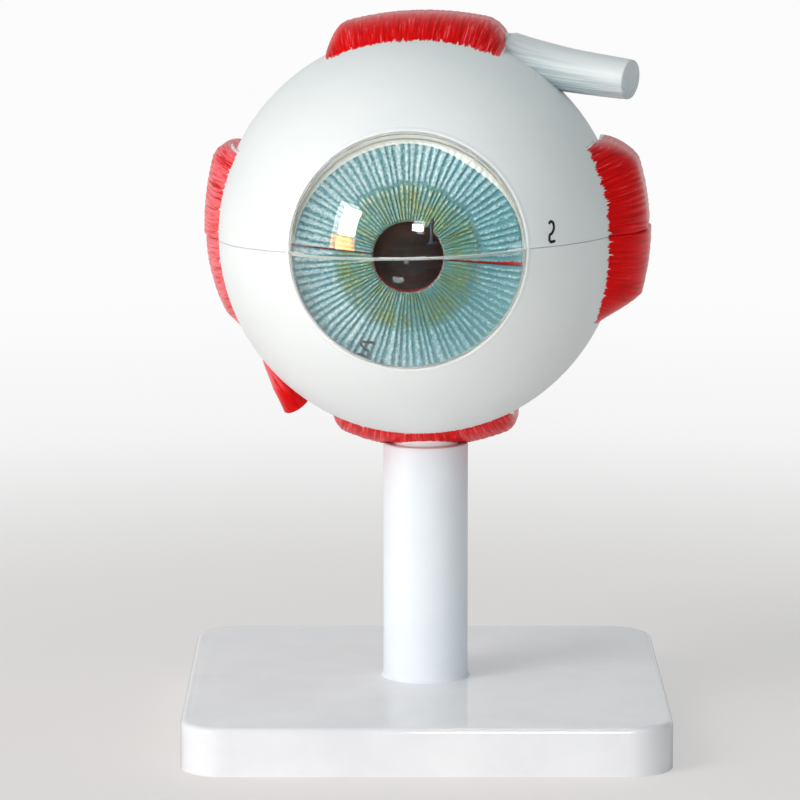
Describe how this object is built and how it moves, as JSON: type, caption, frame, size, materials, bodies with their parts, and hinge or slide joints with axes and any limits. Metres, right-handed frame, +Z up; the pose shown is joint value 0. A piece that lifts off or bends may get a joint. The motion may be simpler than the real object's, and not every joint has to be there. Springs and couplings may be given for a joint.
{
  "type": "eye anatomy model",
  "caption": "Classroom model of a human eye on a post and plate: hinged on a swivel pin, it lifts apart into shells, iris, lens and vitreous body.",
  "frame": {"origin": "centre of the square plate's underside", "axes": "+Z up along the post, the eye looks along -Y (turned slightly to its right), +X is the nasal side"},
  "size_m": [0.09, 0.09, 0.1347],
  "materials": {
    "white_plastic": "glossy moulded white plastic",
    "pin_plastic": "smooth white plastic",
    "shell_plastic": "satin moulded white plastic",
    "clear_plastic": "polished clear plastic",
    "muscle_red": "white plastic brushed with glossy red paint",
    "tendon_white": "white plastic with pale blue-grey brush strokes",
    "choroid_red": "matt plastic, painted dark red",
    "iris_blue": "moulded ridges, painted blue-grey",
    "ciliary_brown": "matt plastic, painted dark brown",
    "lens_clear": "polished clear plastic",
    "vitreous_clear": "polished clear plastic",
    "nerve_cream": "white plastic painted cream",
    "vessel_red": "painted red",
    "steel": "zinc-plated steel"
  },
  "bodies": {
    "stand": {"base_plate": "white_plastic", "post": "white_plastic", "post_screw": "steel"},
    "swivel_pin": {"swivel_pin": "pin_plastic"},
    "lower_eyeball": {"lower_sclera": "shell_plastic", "lower_cornea": "clear_plastic", "seam_dowels": "pin_plastic", "inferior_rectus": "muscle_red", "lower_medial_rectus": "muscle_red", "lower_lateral_rectus": "muscle_red", "inferior_oblique": "muscle_red", "optic_nerve": "nerve_cream", "central_vessels": "vessel_red"},
    "lower_uvea": {"lower_choroid": "choroid_red", "lower_iris": "iris_blue", "lower_ciliary_body": "ciliary_brown"},
    "vitreous": {"vitreous_body": "vitreous_clear"},
    "lens": {"lens": "lens_clear"},
    "upper_uvea": {"upper_choroid": "choroid_red", "upper_iris": "iris_blue", "upper_ciliary_body": "ciliary_brown"},
    "upper_eyeball": {"upper_sclera": "shell_plastic", "upper_cornea": "clear_plastic", "superior_rectus": "muscle_red", "upper_medial_rectus": "muscle_red", "upper_lateral_rectus": "muscle_red", "superior_oblique_tendon": "tendon_white"}
  },
  "joints": [
    {"name": "eyeball_swivel", "type": "hinge", "parent": "stand", "child": "swivel_pin", "pos_m": [0, 0, 0.045], "axis": [0, 0, 1], "continuous": true},
    {"name": "eyeball_lift", "type": "slide", "parent": "swivel_pin", "child": "lower_eyeball", "axis": [0, 0, 1], "range_m": [0, 0.025]},
    {"name": "lower_uvea_lift", "type": "slide", "parent": "lower_eyeball", "child": "lower_uvea", "axis": [-0.0228, 0.0227, 0.9995], "range_m": [0, 0.045]},
    {"name": "vitreous_lift", "type": "slide", "parent": "lower_uvea", "child": "vitreous", "axis": [-0.0228, 0.0227, 0.9995], "range_m": [0, 0.04]},
    {"name": "lens_lift", "type": "slide", "parent": "vitreous", "child": "lens", "axis": [-0.0244, 0.0019, 0.9997], "range_m": [0, 0.03]},
    {"name": "upper_uvea_lift", "type": "slide", "parent": "lens", "child": "upper_uvea", "axis": [-0.0228, 0.0227, 0.9995], "range_m": [0, 0.045]},
    {"name": "upper_shell_lift", "type": "slide", "parent": "upper_uvea", "child": "upper_eyeball", "axis": [-0.0228, 0.0227, 0.9995], "range_m": [0, 0.05]}
  ]
}
